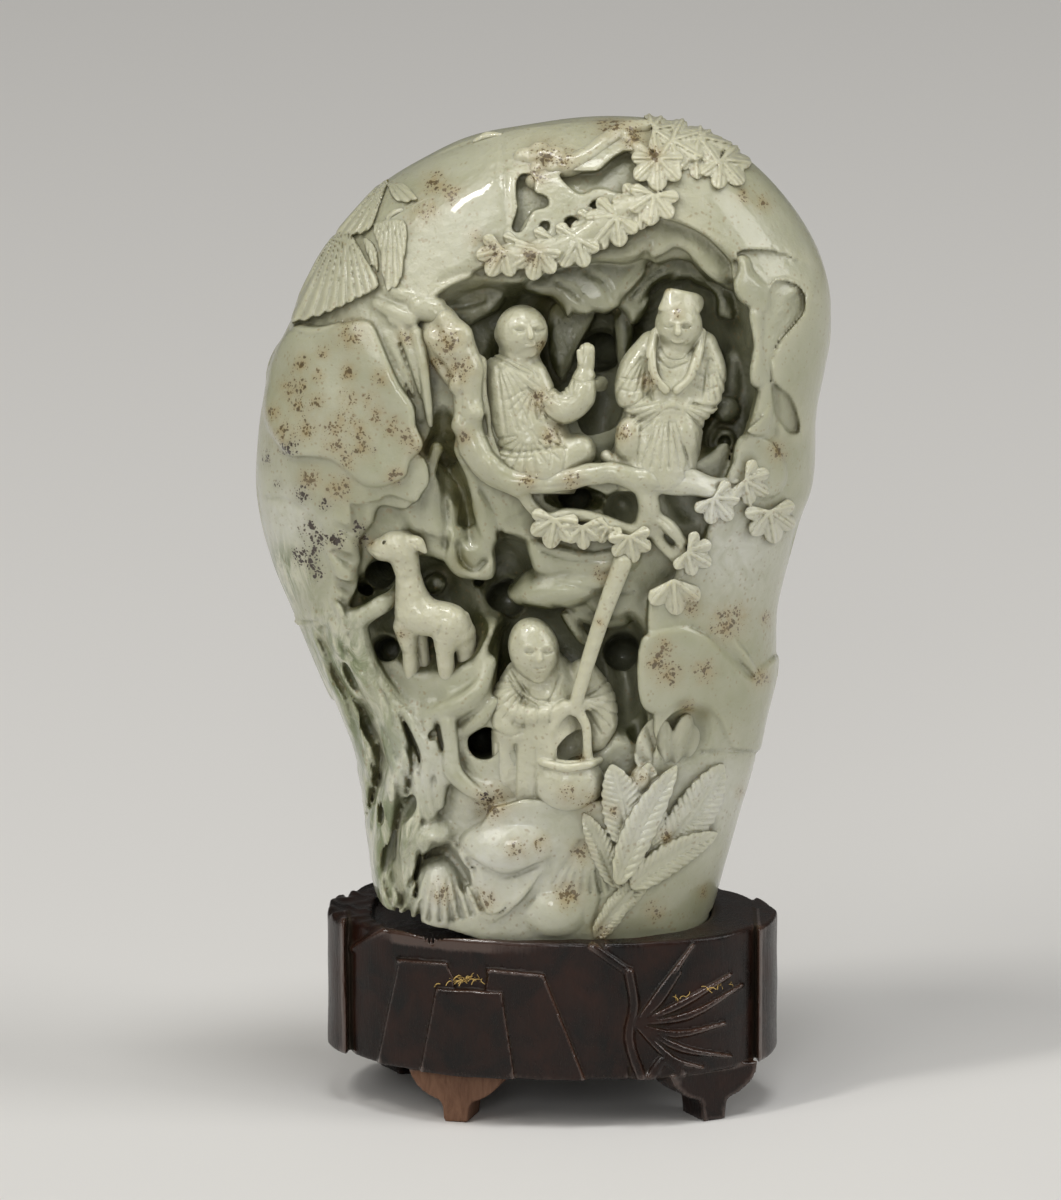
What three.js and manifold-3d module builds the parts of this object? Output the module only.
// A jade boulder carved in high relief and pierced work, standing in its fitted hardwood stand.
// Two sages talk in the upper grotto. Below them a deer stands on a terrace, and a gatherer leans on
// a pole over a basket. Trees, banana leaves and gnarled rock frame the grottoes.
// Millimetres, +Z up. The front faces -Y. The origin is on the ground, under the middle of the piece.
import * as THREE from 'three';
import { mergeVertices } from 'three/addons/utils/BufferGeometryUtils.js';
import Module from 'manifold-3d';

const wasm = await Module();
wasm.setup();

// Driving sizes of the jade.
const JADE_HEIGHT = 163;
const JADE_WIDTH = 114.3;
const JADE_DEPTH = 62;

// Driving sizes of the stand. It is a little off the middle of the jade, and turned.
const STAND_WIDTH = 90.8;
const STAND_DEPTH = 61.2;
const STAND_HEIGHT = 38.5;
const STAND_TURN = -9;
const STAND_PLACE = 1.7;
const STAND_SQUARENESS = 2.2;
const FOOT_HEIGHT = 10.4;
const FOOT_RADIUS = 9.8;
const FOOT_THICKNESS = 9;
const FOOT_TAB_WIDTH = 4.8;
const FOOT_TAB_HEIGHT = 3.4;
const FOOT_INSET = 3.4;
const UNDER_HOLLOW = 4;
const UNDER_WALL = 8;
const SOCKET_DEPTH = 2;
const SOCKET_CLEARANCE = 0.6;
const RELIEF_STEP = 1.6;
const FOOT_SINK = 1;
const CUT_ROOM = 5;

// How the jade's foot is cut: its plan, and the slope that lifts its left end off the socket.
const FOOT_HALF_WIDTH = 33.4;
const FOOT_HALF_DEPTH = 25.6;
const FOOT_SQUARENESS = 2.7;
const SLANT = 8;
const SLANT_FROM = -6;

// The carving is laid out on a front view of the jade at the size it was drawn, seen from a little
// above. Across is from the centre line, up is in the picture plane from the ground, and proud is
// how far a point stands out of the uncarved pebble's skin, or less than nothing inside it.
const DRAWN = { height: 163, width: 114.3, depth: 62, seat: 36.5 };
const LOOK_DOWN = THREE.MathUtils.degToRad(13);
const SEAT = STAND_HEIGHT - SOCKET_DEPTH;
const TALL = JADE_HEIGHT / DRAWN.height;
const WIDE = JADE_WIDTH / DRAWN.width;
const DEEP = JADE_DEPTH / DRAWN.depth;
const BODY_CENTRE = 82;
const FULLNESS = { face: 2.6, edge: 2.2 };

// The stand's front is drawn the same way, at the size that it was drawn.
const STAND_DRAWN = { width: 89, height: 38.5, foot: 10.4 };
const APRON_WIDE = STAND_WIDTH / STAND_DRAWN.width;
const APRON_TALL = (STAND_HEIGHT - FOOT_HEIGHT) / (STAND_DRAWN.height - STAND_DRAWN.foot);

// The outline of the pebble as the front shows it: across, and above the seat. It runs on below the
// seat, where the foot is cut flat.
const SILHOUETTE = [
  [5, 163], [24, 162.5], [40.3, 155], [49.7, 145], [55.9, 133.8], [57.3, 120], [54.6, 105],
  [53.9, 90], [50.5, 80], [47.3, 66], [46, 50], [42.5, 33.6], [37.5, 14.7], [33.5, 0], [28, -22],
  [14, -36], [-12, -36], [-27, -22], [-32.5, 0], [-35.5, 18], [-37, 33], [-43.5, 48], [-49.3, 62],
  [-54.5, 75], [-57, 92], [-55.7, 107], [-50.1, 122.5], [-43, 137], [-32, 149.5], [-15, 159],
];

// The largest crumb of stone, or pinhole in it, that is cleaned away, in cubic millimetres.
const CRUMB = 4;

// How far the ground round the carving is cut back from the pebble's skin, and how far the carving
// reaches past the middle plane.
const GROUND_DEPTH = 3;
const PAST_MIDDLE = 5;

const JADE_COLOUR = 0xc9cdb4;
const WOOD_COLOUR = 0x24130d;

// How finely the silhouette is read, and how often a search for the skin is halved.
const SILHOUETTE_SAMPLES = 240;
const HALVINGS = 24;

// Corners of a made shape that are nearer than this are one, in millimetres.
const WELD = 1e-3;

// How a limb is rounded at its ends: the last ring and the pole past it, as shares of the radius.
const END_RING = 0.8;
const END_POLE = 0.6;

// The silhouette as a radius for each turn about the body's centre.
const rimRadius = (() => {
  const curve = new THREE.CatmullRomCurve3(
    SILHOUETTE.map(([across, height]) => new THREE.Vector3(across, height - BODY_CENTRE, 0)), true);
  const samples = curve.getPoints(SILHOUETTE_SAMPLES)
    .map(({ x, y }) => ({ turn: Math.atan2(y, x), radius: Math.hypot(x, y) }));
  samples.sort((one, other) => one.turn - other.turn);
  return (turn) => {
    const next = samples.findIndex((sample) => sample.turn >= turn);
    if (next <= 0) return samples[0].radius;
    const [before, after] = [samples[next - 1], samples[next]];
    const share = (turn - before.turn) / (after.turn - before.turn || 1);
    return THREE.MathUtils.lerp(before.radius, after.radius, share);
  };
})();

// How far the pebble's skin is from its middle plane, at a place across and above the seat.
function skin(across, height) {
  const rise = height - BODY_CENTRE;
  const reach = Math.min(1, Math.hypot(across, rise) / rimRadius(Math.atan2(rise, across)));
  return (DRAWN.depth / 2) * (1 - reach ** FULLNESS.face) ** (1 / FULLNESS.edge);
}

const heightOf = (up, out) => (up + out * Math.sin(LOOK_DOWN)) / Math.cos(LOOK_DOWN) - DRAWN.seat;

// A point of the carving from its place on the front view. The skin in front of a line of sight is
// found by halving.
function at(across, up, proud) {
  let [inside, outside] = [0, DRAWN.depth];
  for (let i = 0; i < HALVINGS; i += 1) {
    const middle = (inside + outside) / 2;
    if (skin(across, heightOf(up, middle)) > middle) inside = middle;
    else outside = middle;
  }
  const out = inside + proud;
  return new THREE.Vector3(across * WIDE, -out * DEEP, SEAT + heightOf(up, out) * TALL);
}

// A closed solid from a geometry, with its faces pointing out.
function solidOf(geometry) {
  const bare = geometry.clone();
  bare.deleteAttribute('normal');
  bare.deleteAttribute('uv');
  const merged = mergeVertices(bare, WELD);
  const place = merged.attributes.position;
  const corners = merged.index.array;
  const faces = [];
  let volume = 0;
  const [a, b, c] = [new THREE.Vector3(), new THREE.Vector3(), new THREE.Vector3()];
  for (let i = 0; i < corners.length; i += 3) {
    const [p, q, r] = [corners[i], corners[i + 1], corners[i + 2]];
    if (p === q || q === r || r === p) continue;
    faces.push(p, q, r);
    a.fromBufferAttribute(place, p);
    b.fromBufferAttribute(place, q);
    c.fromBufferAttribute(place, r);
    volume += a.dot(b.cross(c));
  }
  if (volume < 0) faces.reverse();
  const mesh = new wasm.Mesh({
    numProp: 3,
    vertProperties: Float32Array.from(place.array),
    triVerts: Uint32Array.from(faces),
  });
  return new wasm.Manifold(mesh);
}

const joined = (solids) => solids.reduce((whole, piece) => whole.add(piece));

function geometryOf(solid) {
  const mesh = solid.getMesh();
  const geometry = new THREE.BufferGeometry();
  geometry.setAttribute('position', new THREE.BufferAttribute(mesh.vertProperties, 3));
  geometry.setIndex(new THREE.BufferAttribute(mesh.triVerts, 1));
  geometry.computeVertexNormals();
  return geometry;
}

// The solid without the crumbs and pinholes that cuts leave where they graze each other.
function withoutCrumbs(solid) {
  const welded = solidOf(geometryOf(solid));
  return joined(welded.decompose().filter((piece) => Math.abs(piece.volume()) > CRUMB));
}

// An ellipsoid. Its radii are across, deep and tall, and it leans by a turn in the picture plane.
function ball(centre, [across, deep, tall], lean = 0, sides = 7) {
  const geometry = new THREE.SphereGeometry(1, sides, sides - 2);
  geometry.rotateX(Math.PI / 2);
  geometry.scale(across * TALL, deep * TALL, tall * TALL);
  geometry.rotateY(-THREE.MathUtils.degToRad(lean));
  geometry.translate(centre.x, centre.y, centre.z);
  return solidOf(geometry);
}

// A round limb that follows a smooth path, with a radius for each stretch and rounded ends.
function limb(points, radii, sides = 5, stepsEach = 1) {
  const path = new THREE.CatmullRomCurve3(points);
  const rings = stepsEach * (points.length - 1) + 1;
  const frames = path.computeFrenetFrames(rings - 1);
  const geometry = new THREE.SphereGeometry(1, sides, rings + 1);
  const vertices = geometry.attributes.position;
  const point = new THREE.Vector3();
  for (let i = 0; i < vertices.count; i += 1) {
    point.fromBufferAttribute(vertices, i);
    const row = Math.round((Math.acos(THREE.MathUtils.clamp(point.y, -1, 1)) / Math.PI) * (rings + 1));
    const ring = THREE.MathUtils.clamp(row - 1, 0, rings - 1);
    const along = (ring / (rings - 1)) * (radii.length - 1);
    const lower = Math.min(Math.floor(along), radii.length - 2);
    const radius = THREE.MathUtils.lerp(radii[lower], radii[lower + 1], along - lower) * TALL;
    const turn = Math.atan2(point.z, point.x);
    const isPole = row === 0 || row === rings + 1;
    const isEnd = ring === 0 || ring === rings - 1;
    const reach = isPole ? 0 : radius * (isEnd ? END_RING : 1);
    const past = isPole ? radius * END_POLE * (row === 0 ? -1 : 1) : 0;
    point.copy(path.getPointAt(ring / (rings - 1)))
      .addScaledVector(frames.tangents[ring], past)
      .addScaledVector(frames.normals[ring], reach * Math.cos(turn))
      .addScaledVector(frames.binormals[ring], reach * Math.sin(turn));
    vertices.setXYZ(i, point.x, point.y, point.z);
  }
  return solidOf(geometry);
}

// A flat plate cut from an outline drawn on the front view. Its face lies at the centre, its thickness
// behind, and it can spin in its own plane, nod up or down, and swing to a side.
function plate(outline, centre, thickness, { spin = 0, nod = 0, swing = 0 } = {}) {
  const geometry = new THREE.ExtrudeGeometry(new THREE.Shape(outline), {
    depth: thickness * TALL,
    bevelEnabled: false,
  });
  const angle = THREE.MathUtils.degToRad;
  geometry.translate(0, 0, -thickness * TALL);
  geometry.scale(TALL, TALL, 1);
  geometry.rotateZ(angle(spin));
  geometry.rotateX(Math.PI / 2 + angle(nod));
  geometry.rotateZ(angle(swing));
  geometry.translate(centre.x, centre.y, centre.z);
  return solidOf(geometry);
}

// The river pebble before it was carved: a swollen form with the front view's outline, let out or
// taken in all round.
function pebble(letOut = 0, around = 32, rings = 10) {
  const geometry = new THREE.SphereGeometry(1, around, rings);
  const vertices = geometry.attributes.position;
  const point = new THREE.Vector3();
  for (let i = 0; i < vertices.count; i += 1) {
    point.fromBufferAttribute(vertices, i);
    const [reach, share] = [Math.sqrt(Math.max(0, 1 - point.y * point.y)), Math.abs(point.y)];
    const turn = Math.atan2(point.z, point.x);
    const spread = reach ** (2 / FULLNESS.face) * (rimRadius(turn) + letOut);
    const depth = Math.sign(point.y) * share ** (2 / FULLNESS.edge) * (DRAWN.depth / 2 + letOut);
    const height = BODY_CENTRE + spread * Math.sin(turn);
    vertices.setXYZ(i, spread * Math.cos(turn) * WIDE, depth * DEEP, SEAT + height * TALL);
  }
  return solidOf(geometry);
}

// An outline in plan that is squarer than an ellipse, let out or taken in all round.
function softOval(halfWidth, halfDepth, squareness, letOut = 0, points = 28) {
  const power = (value) => Math.sign(value) * Math.abs(value) ** (2 / squareness);
  return Array.from({ length: points }, (_, i) => {
    const turn = (i / points) * 2 * Math.PI;
    return new THREE.Vector2(
      (halfWidth + letOut) * power(Math.cos(turn)), (halfDepth + letOut) * power(Math.sin(turn)));
  });
}

// A solid that stands upright on an outline drawn in plan.
function upright(outline, bottom, top) {
  const shape = new THREE.Shape(outline);
  const geometry = new THREE.ExtrudeGeometry(shape, { depth: top - bottom, bevelEnabled: false });
  geometry.translate(0, 0, bottom);
  return solidOf(geometry);
}

// The jade's foot in plan, which the stand's socket follows.
const footPlan = (letOut = 0) =>
  softOval(FOOT_HALF_WIDTH * WIDE, FOOT_HALF_DEPTH * DEEP, FOOT_SQUARENESS, letOut);

// What lies under the jade's flat foot, under its raised left end, and outside the socket.
function underside() {
  const [long, thick] = [2 * JADE_WIDTH, JADE_HEIGHT / 2];
  const slanted = new THREE.BoxGeometry(long, long, thick);
  slanted.translate(0, 0, -thick / 2);
  slanted.rotateY(THREE.MathUtils.degToRad(SLANT));
  slanted.translate(SLANT_FROM * WIDE, 0, SEAT);
  const flat = new THREE.BoxGeometry(long, long, thick);
  flat.translate(0, 0, SEAT - thick / 2);
  const around = new THREE.BoxGeometry(long, long, thick);
  around.translate(0, 0, STAND_HEIGHT + SOCKET_CLEARANCE - thick / 2);
  const outside = solidOf(around).subtract(upright(footPlan(), -thick, thick));
  return joined([solidOf(flat), solidOf(slanted), outside]);
}

// Everything behind and before an outline drawn on the front view, from just past the middle plane
// outwards, so that a shape at the silhouette wraps round it.
function alongSight(outline) {
  const shape = new THREE.Shape(outline.map(([across, up]) => new THREE.Vector2(across, up)));
  const geometry = new THREE.ExtrudeGeometry(shape, { depth: 2 * DRAWN.depth, bevelEnabled: false });
  geometry.translate(0, 0, -DRAWN.depth / 4);
  geometry.rotateX(Math.PI / 2 - LOOK_DOWN);
  geometry.translate(0, 0, -DRAWN.seat);
  geometry.scale(WIDE, DEEP, TALL);
  geometry.translate(0, 0, SEAT);
  const front = new THREE.BoxGeometry(2 * JADE_WIDTH, 2 * JADE_DEPTH, 2 * JADE_HEIGHT);
  front.translate(0, PAST_MIDDLE * DEEP - JADE_DEPTH, SEAT + JADE_HEIGHT / 2);
  return solidOf(geometry).intersect(solidOf(front));
}

// A part of the skin left proud of the rest.
const leftProud = (outline, amount) => alongSight(outline).intersect(pebble(amount));

// The broad cuts that leave the smooth shoulders of the pebble standing round the carving.
function backgrounds() {
  const aroundGrottoes = [[-28, 152], [-8, 171], [-5, 185], [19, 185], [38, 170], [44, 126], [46, 108],
    [22, 106], [20, 62], [-10, 58], [-16, 38], [-30, 38], [-42, 88], [-36, 110], [-50, 121], [-50, 127],
    [-26, 127]];
  return alongSight(aroundGrottoes).subtract(pebble(-GROUND_DEPTH));
}

// The grottoes, recesses and pierced holes, each a rounded hollow worked with a wheel.
function hollows() {
  const upperGrotto = [
    ball(at(10, 145, 1), [24, 26, 22], 0, 9),
    ball(at(27, 149, 0), [17.5, 21, 25], 0, 8),
    ball(at(-11, 152, 1), [12, 15, 11]),
    limb([at(36.5, 152, -4), at(37, 140, -5), at(33.5, 129, -4)], [4.4, 5.5, 4]),
    limb([at(12, 152, -20), at(12, 140, -22), at(10, 131, -20)], [4, 5, 4]),
    limb([at(12.3, 146, -12), at(12, 148, -32), at(18, 158, -44), at(24, 166, -66)], [4.4, 3.6, 3.2, 3]),
  ];
  const canopyRecess = [
    ball(at(8, 180.5, 1), [14, 8, 8], 10),
  ];
  const deerGrotto = [
    ball(at(-24, 97, 0), [14, 15, 15], -10),
    ball(at(-8, 102, 0), [9, 16, 10]),
    limb([at(-31.6, 105, 4), at(-32, 104.6, -14), at(-27, 110, -30), at(-20, 116, -60)], [3, 3, 3, 3]),
    limb([at(-31.3, 91.5, 4), at(-30, 92, -24)], [3.6, 3]),
    limb([at(-7.4, 101, 0), at(-7, 100.6, -28)], [4.6, 4]),
  ];
  const lowerGrotto = [
    ball(at(3.5, 84, 1), [16, 21, 21]),
    ball(at(17, 84, 1), [5.5, 18, 13]),
    limb([at(15.8, 89.5, -8), at(16, 89, -32)], [4.4, 4]),
    limb([at(-11.4, 70.5, 3), at(-12.5, 71.5, -44)], [4.4, 3.4]),
  ];
  const behindBranches = [
    ball(at(9.5, 118.5, 1), [10, 12, 4.2], 12),
    ball(at(-14, 117, 2), [9, 9, 9], 25),
  ];
  const frontFoot = [
    ball(at(29.5, 72, 2), [7.5, 6.5, 8]),
  ];
  return joined([...upperGrotto, ...canopyRecess, ...deerGrotto, ...lowerGrotto, ...behindBranches,
    ...frontFoot]);
}

// Rock left standing proud: slabs, ledges, terraces and boulders at the foot.
function rocks() {
  const overhang = [[-60, 136], [-54.5, 133], [-50, 125.5], [-43, 122], [-35, 119], [-27, 121.5],
    [-22.5, 124], [-24, 131], [-25, 138], [-29, 146], [-33, 154], [-44, 151], [-54, 150], [-60, 146]];
  const lowerLedge = [[-47, 122], [-43, 115], [-36, 112.5], [-28, 115], [-22, 118], [-24, 124], [-36, 124]];
  const slab = [leftProud(overhang, 1.6), leftProud(lowerLedge, -0.4)];
  const ledges = [
    ball(at(6, 161.5, -12), [13, 9, 3.6], -14),
    ball(at(6, 102, -8), [13, 8, 4.2], -12),
    ball(at(-9, 113, -7), [7, 8, 8], 12),
  ];
  const terrace = [
    ball(at(-19, 83, -8), [12, 9, 6], -12),
  ];
  const footBoulders = [
    ball(at(-2, 51.5, -6), [13, 8, 7.5], -6),
    ball(at(-19, 44, -6), [7, 7.5, 8], 0, 6),
    ball(at(5, 40.5, -6), [13, 7.5, 6.5], 8),
  ];
  return joined([...slab, ...ledges, ...terrace, ...footBoulders]);
}

// A limb whose path is written as places on the front view.
const strand = (path, radii, sides, stepsEach) =>
  limb(path.map((place) => at(...place)), radii, sides, stepsEach);

// The gnarled trunk at the lower left, whose roots run down into the jade's foot.
function gnarledTrunk() {
  return joined([
    strand([[-30, 42, -2], [-33, 56, -1], [-31, 70, -1], [-37, 82, -1.5], [-44, 92, -2]],
      [3, 3.6, 3.4, 3, 2.2]),
    strand([[-26, 44, -1.4], [-27, 58, -0.6], [-27, 72, -0.8], [-33, 85, -1.4], [-36.5, 97, -2.5]],
      [3.2, 3.4, 3, 2.6, 2]),
    strand([[-21, 52, -1.6], [-22, 64, -1], [-23, 75, -1.4], [-29, 86, -2.4]], [2.6, 3, 2.8, 2]),
    strand([[-12, 59, -2], [-16, 66, -2], [-16, 75, -3]], [2, 2.4, 2.2], 4),
    strand([[-36, 94, -3], [-27.5, 98, -5]], [2.2, 1.8], 4),
  ]);
}

// A leaf with pointed lobes, drawn round its own middle.
function lobedLeaf(radius, lobes = 5) {
  const corners = 2 * lobes;
  return Array.from({ length: corners }, (_, i) => {
    const reach = radius * (i % 2 === 0 ? 0.7 : 1.05);
    const turn = (i / corners) * 2 * Math.PI - Math.PI / 2;
    return new THREE.Vector2(reach * Math.cos(turn), reach * Math.sin(turn));
  });
}

// A long leaf with a point at its tip, drawn upwards from its stalk.
function longLeaf(length, width, points = 4) {
  const side = (sign, i) => {
    const share = i / points;
    const bulge = Math.sin(Math.PI * share ** 0.8) ** 0.7;
    return new THREE.Vector2((sign * width * bulge) / 2, length * share);
  };
  const right = Array.from({ length: points }, (_, i) => side(1, i));
  const left = Array.from({ length: points }, (_, i) => side(-1, points - i));
  return [...right, ...left];
}

// Leaves at places on the front view, each with its radius and its spin.
function leaves(spots, thickness) {
  return joined(spots.map(([across, up, proud, radius, spin]) => plate(
    lobedLeaf(radius), at(across, up, proud), thickness, { spin, swing: across / 2, nod: (110 - up) / 4 })));
}

// The tree that crosses in front of the sages, and its leaves.
function middleTree() {
  return joined([
    strand([[-23, 153, -3], [-17.5, 144, -2.4], [-14.5, 130, -1.5], [-8, 124, -1], [3, 123.5, -1],
      [19, 126, -1], [38, 119, -1]], [3, 3.2, 3, 3, 2.6, 2.8, 2], 6),
    strand([[19.5, 125, -1], [21, 117, -1.4], [18.5, 110, -2]], [2.6, 2.4, 1.8]),
    strand([[20.5, 114, -1.6], [11, 114.5, -2], [2, 114.5, -2], [-4, 122, -2]], [1.8, 1.6, 1.6, 1.6]),
    strand([[21, 115, -1.5], [27, 110, -1.5], [27.5, 103, -1.5]], [2.2, 1.8, 1.4]),
    leaves([[4, 113.5, 0.2, 4.2, 10], [10, 112, 0.2, 3.2, 40], [16.5, 110.2, 0.4, 3.8, 80],
      [35, 117.5, 0.6, 4.2, 25], [42, 122, 0.8, 4.4, 0], [45.5, 114.6, 1, 4.2, 60],
      [29.7, 107.8, 0.6, 4, 15], [25.5, 101, 0.6, 4.8, 45]], 3),
  ]);
}

// The tree that hangs over the top of the upper grotto.
function canopyTree() {
  return joined([
    strand([[-7, 186, -1], [2, 184, -1], [11, 184, -1.4], [19, 187.5, -1.4], [26, 189, -2]],
      [2.8, 3, 2.4, 2.4, 2]),
    strand([[2, 184, -1.4], [0.6, 177, -1.6], [5, 171, -2]], [2.2, 1.8, 2]),
    leftProud([[-12, 166.5], [-9, 163.5], [-5, 165.5], [-2, 163], [1, 165.5], [5, 167.5], [10, 166],
      [14, 170], [18, 171], [21, 178], [15, 177], [9, 174], [-1, 173], [-10, 171]], 0.3),
    strand([[4, 180, -2], [21, 180, -2]], [1.6, 1.6], 4),
    leaves([[24, 190, 1, 4.6, 0], [31.5, 188.5, 1, 4.6, 30], [23, 183, 0.8, 4.4, 10],
      [22, 176.5, 0.8, 4.2, 50], [0, 186, 0.8, 4, 15], [37.5, 181, 0.6, 3.4, 10]], 4),
  ]);
}

// Fan-shaped sprays on the upper left shoulder.
function pineFans() {
  const fan = (radius, spread, points = 5) => {
    const rim = Array.from({ length: points }, (_, i) => {
      const turn = spread * (i / (points - 1) - 0.5) - Math.PI / 2;
      return new THREE.Vector2(radius * Math.cos(turn), radius * Math.sin(turn));
    });
    return [new THREE.Vector2(0, 0), ...rim];
  };
  const spray = ([across, up], radius, spread, lean, proud) => {
    const turned = fan(radius, spread).map((point) => point.rotateAround(new THREE.Vector2(), lean));
    return leftProud(turned.map((point) => [across + point.x, up + point.y]), proud);
  };
  return joined([
    spray([-33, 184], 18, 0.75, -0.35, 1.6),
    spray([-42, 172], 19, 0.95, 0.25, 1.6),
    spray([-30, 176], 15, 0.6, 0.1, 1.6),
  ]);
}

// Broad banana leaves at the lower right.
function bananaLeaves() {
  const leaf = (place, length, width, lean) =>
    plate(longLeaf(length, width), at(...place), 3, { spin: lean, swing: place[0] / 2, nod: 3 });
  return joined([
    leaf([16.5, 51, 1.6], 15, 6.5, 4),
    leaf([16, 45, 1.6], 26, 7.5, -32),
    leaf([19, 43, 1.4], 19, 6, -62),
    leaf([26, 54, 1], 16, 7, -18),
    leaf([9.5, 57, 1], 14, 5, 160),
    leaf([12, 44, 1], 10, 5, 20),
  ]);
}

// Overlapping lobes of smooth rock at the right of the grotto, and the arched hollow's swirl.
function rightLobes() {
  return joined([
    strand([[40, 163, -1], [45, 156, -1.4], [45, 148, -1.8], [43.4, 140, -1.6], [43.4, 130, -1.4],
      [46, 122, -1.6]], [2.4, 3.6, 3.8, 2.8, 3.2, 3]),
    strand([[23, 84, -2], [29, 74, -4], [26, 64, -3]], [2.6, 2.4, 2], 5),
  ]);
}

// The sage who sits at the left of the upper grotto, with his back half turned and one hand raised.
function seatedSage() {
  return joined([
    ball(at(-4.3, 151.4, -6), [5.2, 5.2, 5.3], 0, 8),
    strand([[-4.4, 149, -7], [-5.4, 143, -7.5], [-6, 136, -7.5], [-4.4, 129, -8]], [3, 6, 7.2, 8], 8, 2),
    strand([[-1.6, 143, -5.5], [4.6, 135.5, -4.5], [7.8, 141.5, -4.5], [8, 148, -4.5]], [3, 3.7, 3, 1.8]),
    strand([[-4, 129, -8], [5, 129, -9]], [6, 5]),
    strand([[7, 142, -6], [12, 142.6, -9]], [1.6, 1.8], 4),
  ]);
}

// The sage who stands at the right, with his sleeves folded before him.
function standingSage() {
  return joined([
    ball(at(27.7, 153.8, -5), [4.9, 4.8, 5.6], 0, 8),
    strand([[23.8, 158.2, -5.5], [28, 158.6, -5], [31.6, 157, -5.5]], [2, 2.4, 1.8]),
    strand([[26.8, 151, -8], [25.4, 141, -8], [23.6, 132, -8], [22, 124.5, -8]], [5.4, 8, 8.2, 9], 8, 2),
    strand([[21.2, 148.5, -6], [17.8, 141, -5], [18.8, 135.8, -3.4], [23.6, 134.6, -2]],
      [3.2, 3.9, 3.6, 2.2]),
    strand([[31.4, 148.5, -6], [33.6, 141, -5], [31, 135.4, -3.4], [25.6, 134, -2]], [3.2, 3.9, 3.6, 2.2]),
    strand([[22.7, 133, -1.8], [22, 125, -0.6]], [1.4, 1.5], 5),
  ]);
}

// The gatherer below, with a pole over the shoulder and a basket before the knees.
function gatherer() {
  const basket = ball(at(5.7, 63.2, -4.5), [7.2, 5.6, 6]).subtract(ball(at(5.7, 70, -4.5), [5, 4, 4.4]));
  return joined([
    ball(at(-1.7, 89.4, -4.5), [4.9, 5, 6.2], 6, 8),
    strand([[-1, 88, -8], [0.4, 81, -9], [0.8, 74, -9], [0.6, 61, -9]], [4, 7.6, 9, 8], 8, 2),
    strand([[-6, 82.5, -7.5], [-7.6, 75, -6], [-2.6, 73, -3], [4.6, 76.6, -1.6]], [4, 4.4, 2.8, 1.8]),
    strand([[10, 81.5, -7.5], [12, 74.5, -6], [9.2, 72.6, -3], [7, 76.6, -1.6]], [4, 4.2, 2.8, 1.8]),
    strand([[16.7, 107.8, -0.6], [11.4, 93.4, -0.8], [6.4, 77.6, -1]], [1.5, 1.4, 1.5], 5),
    strand([[5.5, 77, -1], [1.6, 71.5, -1], [0.6, 64, -2]], [1.3, 1.1, 1.2], 4),
    strand([[6.5, 77, -1], [9.8, 72, -1], [10.2, 65, -2]], [1.3, 1.1, 1.2], 4),
    basket,
  ]);
}

// The deer on its terrace, looking to the left.
function deer() {
  return joined([
    strand([[-25.8, 97.2, -4.6], [-21.5, 95, -4.6], [-17, 94.4, -4.6]], [3, 3.2, 3.2]),
    strand([[-25.8, 97.2, -4.6], [-27.2, 103, -4], [-27.8, 107.4, -4]], [2.8, 2.1, 2.4]),
    strand([[-33.4, 110.4, -4], [-29.2, 108.6, -4], [-24.6, 108.8, -4]], [1.2, 2.8, 1.2]),
    strand([[-25, 93, -4.4], [-24.6, 84, -4.6]], [1.6, 1.4], 5),
    strand([[-18.6, 94, -4], [-18.2, 83, -4]], [2, 1.4], 5),
    strand([[-15.6, 94, -7], [-14.8, 84, -7]], [2, 1.5], 5),
  ]);
}

function jadeBoulder() {
  const stone = pebble().subtract(backgrounds()).subtract(hollows());
  const carving = joined([rocks(), gnarledTrunk(), middleTree(), canopyTree(), pineFans(), bananaLeaves(),
    rightLobes(), seatedSage(), standingSage(), gatherer(), deer()]);
  return withoutCrumbs(stone.add(carving).subtract(underside()));
}

// The stand's outline in plan, a soft oval that is turned a little, let out or taken in.
function standPlan(letOut = 0) {
  const turn = THREE.MathUtils.degToRad(STAND_TURN);
  return softOval(STAND_WIDTH / 2, STAND_DEPTH / 2, STAND_SQUARENESS, letOut)
    .map((point) => point.rotateAround(new THREE.Vector2(), turn));
}

// How far the stand's front lies before the middle, at a place across and a level of relief.
function standFront(across, letOut = 0) {
  const outline = standPlan(letOut);
  const near = outline.filter((point) => point.y < 0)
    .sort((one, other) => Math.abs(one.x - across) - Math.abs(other.x - across));
  return near[0].y;
}

// A place on the stand's front view, at the stand's own size. A height below the apron or above the
// rim is only there so that a cut runs out past the edge.
function onApron([across, height]) {
  const rise = (height - STAND_DRAWN.foot) * APRON_TALL;
  return new THREE.Vector2(across * APRON_WIDE, FOOT_HEIGHT + rise);
}

// One raised piece of the stand's front: the part of a let-out oval that an outline drawn on the
// front view keeps. The back has the same piece, half a turn round, when it is wanted there too.
function relief(outline, level, onBackToo = false) {
  const shape = new THREE.Shape(outline.map(onApron));
  const geometry = new THREE.ExtrudeGeometry(shape, { depth: STAND_DEPTH, bevelEnabled: false });
  geometry.rotateX(Math.PI / 2);
  const front = upright(standPlan(level * RELIEF_STEP), FOOT_HEIGHT, STAND_HEIGHT)
    .intersect(solidOf(geometry));
  return onBackToo ? front.add(front.rotate([0, 0, 180])) : front;
}

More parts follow.
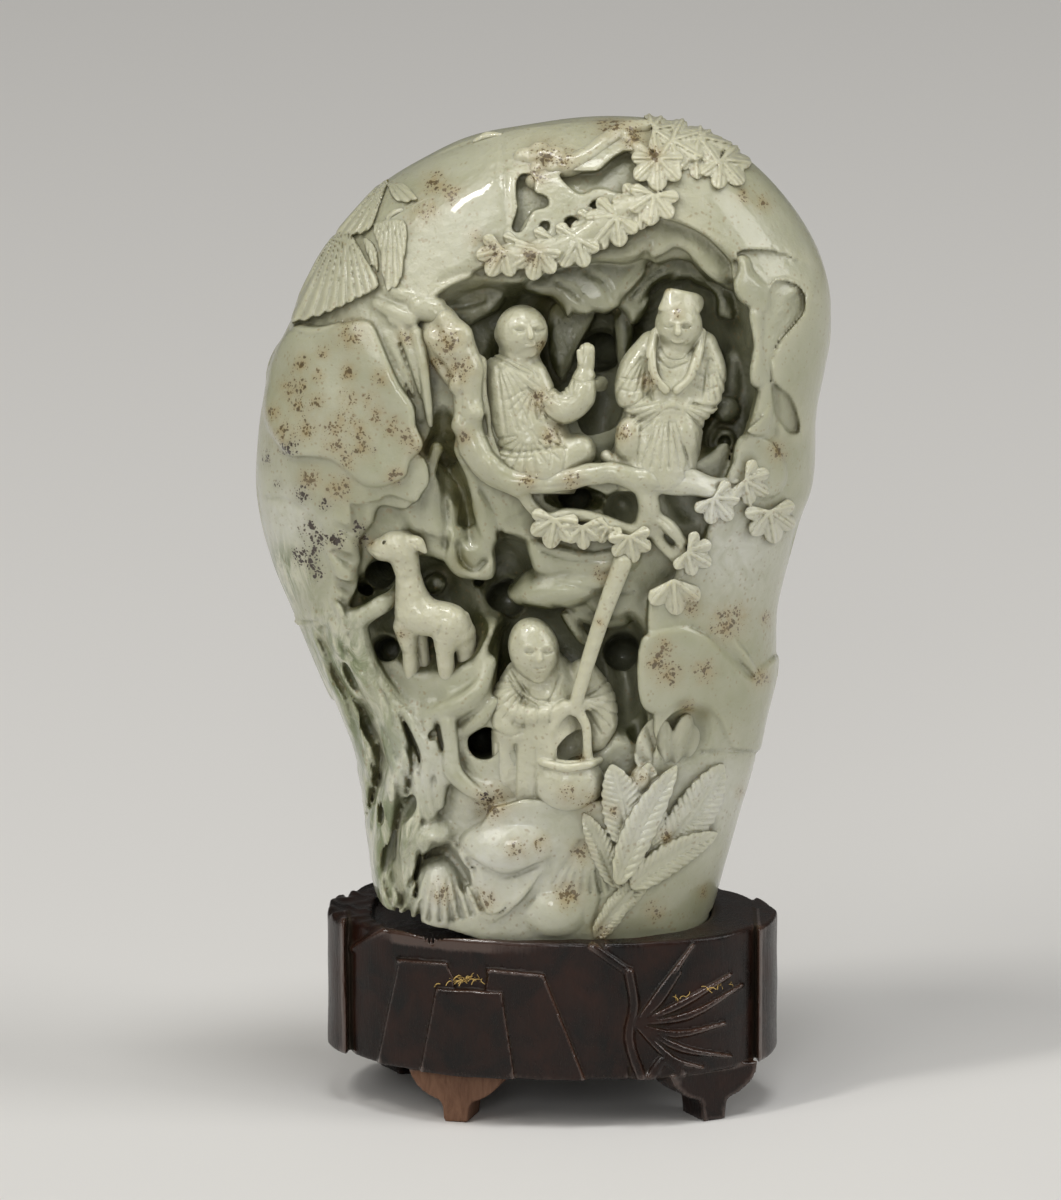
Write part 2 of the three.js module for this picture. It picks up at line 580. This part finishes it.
// A foot: half a disc that hangs under the apron, with a short tab that meets the ground. It sits
// where a direction from the stand's middle meets the apron, drawn in by a little, and faces a turn.
function foot(across, turn) {
  const steps = 5;
  const tab = FOOT_TAB_WIDTH / 2;
  const drop = FOOT_HEIGHT - FOOT_TAB_HEIGHT;
  const points = [[-FOOT_RADIUS, FOOT_HEIGHT + FOOT_SINK]];
  for (let i = 0; i <= steps; i += 1) {
    const angle = (i / steps) * Math.acos(tab / FOOT_RADIUS);
    points.push([-FOOT_RADIUS * Math.cos(angle), FOOT_HEIGHT - drop * Math.sin(angle)]);
  }
  points.push([-tab, 0]);
  const mirrored = points.map(([x, z]) => [-x, z]).reverse();
  const shape = new THREE.Shape([...points, ...mirrored].map(([x, z]) => new THREE.Vector2(x, z)));
  const geometry = new THREE.ExtrudeGeometry(shape, { depth: FOOT_THICKNESS, bevelEnabled: false });
  geometry.rotateX(Math.PI / 2);
  geometry.translate(0, FOOT_THICKNESS, 0);
  geometry.rotateZ(THREE.MathUtils.degToRad(turn));
  geometry.translate(across, standFront(across) + FOOT_INSET, 0);
  return solidOf(geometry);
}

// The carving of the stand's front: a raised ground between chamfers, three rocks, a ridge, the panel
// of the leaf, and a pillar at each end. Low and high run out past the apron's edges.
function apronCarving() {
  const low = STAND_DRAWN.foot - FOOT_SINK;
  const high = STAND_DRAWN.height + FOOT_SINK;
  const end = STAND_DRAWN.width;
  return [
    relief([[-41.5, low], [15.9, low], [15.9, 33], [8.3, high], [-33.1, high], [-41.5, 31.5]], -1, true),
    relief([[-35.1, low], [-16.7, low], [-16.7, 28], [-20.6, 33.4], [-30.5, 33.4]], -0.5),
    relief([[-15.7, low], [7.3, low], [-1.9, 33], [-13.2, 33.8]], -0.5),
    relief([[-26.6, low], [-6.9, low], [-9.9, 28.4], [-23.1, 28.6]], 0),
    relief([[16.5, low], [18.1, low], [17.7, 32], [17.1, high], [14.9, high], [16.5, 31.5]], 0, true),
    relief([[18.7, low], [41.5, low], [41.5, high], [18.7, high]], -1, true),
    relief([[42.5, low], [end, low], [end, high], [42.5, high]], 0, true),
    relief([[-end, low], [-41.4, low], [-41.4, high], [-end, high]], -0.3, true),
  ];
}

// The rays of the leaf, cut from its stalk to places on the front view with a sag on the way.
function leafGrooves() {
  const stalk = [19.1, 17.2];
  const rays = [[36, 37, 4], [41, 33, 2.6], [42, 26, 1.2], [42, 19.5, 0], [38, 14.5, -0.6]];
  const [thin, broad] = [0.375 * RELIEF_STEP, 0.69 * RELIEF_STEP];
  return rays.map(([across, height, sag]) => {
    const start = [stalk[0], stalk[1] + height * 0.22];
    const path = [0, 0.34, 0.67, 1].map((share) => {
      const place = onApron([
        THREE.MathUtils.lerp(start[0], across, share),
        THREE.MathUtils.lerp(start[1], height, share) - sag * Math.sin(Math.PI * share)]);
      return new THREE.Vector3(place.x, standFront(place.x, -RELIEF_STEP), place.y);
    });
    return limb(path, [thin, broad, broad, thin], 4);
  });
}

// The stand: an apron carved with rocks and a leaf between two ridges, on four cloud feet. It is
// built round its own middle, and moved to its place before the socket is cut.
function woodStand() {
  const apron = upright(standPlan(-2 * RELIEF_STEP), FOOT_HEIGHT, STAND_HEIGHT);
  const underHollow = upright(standPlan(-UNDER_WALL), 0, FOOT_HEIGHT + UNDER_HOLLOW);
  const feet = [foot(-0.21 * STAND_WIDTH, -15), foot(0.36 * STAND_WIDTH, 28)];
  const allFeet = [...feet, ...feet.map((one) => one.rotate([0, 0, 180]))];
  const carved = joined([apron, ...apronCarving()]).subtract(joined([...leafGrooves(), underHollow]));
  const whole = carved.add(joined(allFeet)).translate([STAND_PLACE, 0, 0]);
  const socket = upright(footPlan(SOCKET_CLEARANCE), STAND_HEIGHT - SOCKET_DEPTH, STAND_HEIGHT + CUT_ROOM);
  return withoutCrumbs(whole.subtract(socket));
}

const jadeMaterial = new THREE.MeshStandardMaterial({ color: JADE_COLOUR, roughness: 0.22, metalness: 0 });
const woodMaterial = new THREE.MeshStandardMaterial({ color: WOOD_COLOUR, roughness: 0.3, metalness: 0 });

function named(name, solid, material) {
  const mesh = new THREE.Mesh(geometryOf(solid), material);
  mesh.name = name;
  return mesh;
}

const carving = new THREE.Group();
carving.add(named('jade_boulder', jadeBoulder(), jadeMaterial));
carving.add(named('wood_stand', woodStand(), woodMaterial));
const middle = new THREE.Box3().setFromObject(carving).getCenter(new THREE.Vector3());
carving.position.set(-middle.x, -middle.y, 0);

export default carving;
